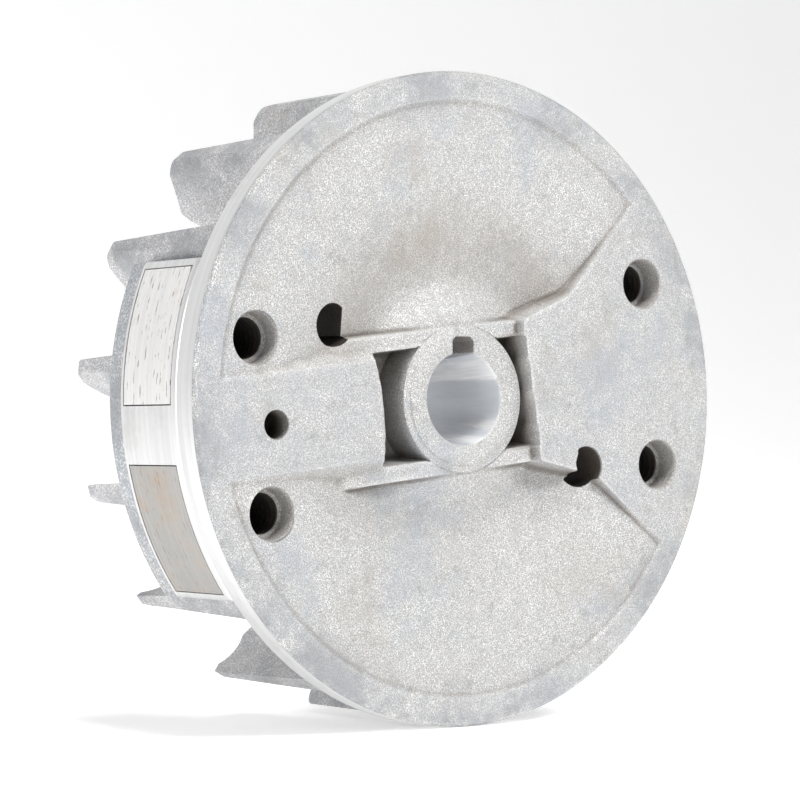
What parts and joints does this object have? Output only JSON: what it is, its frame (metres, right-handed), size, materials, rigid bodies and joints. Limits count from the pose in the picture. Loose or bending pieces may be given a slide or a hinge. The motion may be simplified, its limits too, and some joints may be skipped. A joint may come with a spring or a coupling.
{
  "type": "flywheel",
  "caption": "Die-cast magneto flywheel with cooling blades, a keyed taper bore and laminated pole shoes let into a magnet sector on its edge.",
  "frame": {"origin": "centre of the crankshaft bore at the hub's engine-side end face", "axes": "-Y out of the bore towards the engine, +Y towards the blade tips, +Z along the keyway"},
  "size_m": [0.11, 0.0395, 0.11],
  "materials": {
    "cast_aluminium": "as-cast, shot blasted",
    "lamination_steel": "turned",
    "rivet_steel": "plain",
    "magnet_alloy": "ground"
  },
  "bodies": {
    "root": {"casting": "cast_aluminium", "leading_shoe_lamination_01": "lamination_steel", "leading_shoe_lamination_02": "lamination_steel", "leading_shoe_lamination_03": "lamination_steel", "leading_shoe_lamination_04": "lamination_steel", "leading_shoe_lamination_05": "lamination_steel", "leading_shoe_lamination_06": "lamination_steel", "leading_shoe_lamination_07": "lamination_steel", "leading_shoe_lamination_08": "lamination_steel", "leading_shoe_lamination_09": "lamination_steel", "leading_shoe_lamination_10": "lamination_steel", "leading_shoe_lamination_11": "lamination_steel", "leading_shoe_lamination_12": "lamination_steel", "leading_shoe_lamination_13": "lamination_steel", "leading_shoe_lamination_14": "lamination_steel", "trailing_shoe_lamination_01": "lamination_steel", "trailing_shoe_lamination_02": "lamination_steel", "trailing_shoe_lamination_03": "lamination_steel", "trailing_shoe_lamination_04": "lamination_steel", "trailing_shoe_lamination_05": "lamination_steel", "trailing_shoe_lamination_06": "lamination_steel", "trailing_shoe_lamination_07": "lamination_steel", "trailing_shoe_lamination_08": "lamination_steel", "trailing_shoe_lamination_09": "lamination_steel", "trailing_shoe_lamination_10": "lamination_steel", "trailing_shoe_lamination_11": "lamination_steel", "trailing_shoe_lamination_12": "lamination_steel", "trailing_shoe_lamination_13": "lamination_steel", "trailing_shoe_lamination_14": "lamination_steel", "leading_shoe_rivet_1": "rivet_steel", "leading_shoe_rivet_2": "rivet_steel", "trailing_shoe_rivet_1": "rivet_steel", "trailing_shoe_rivet_2": "rivet_steel", "magnet": "magnet_alloy"}
  },
  "joints": []
}
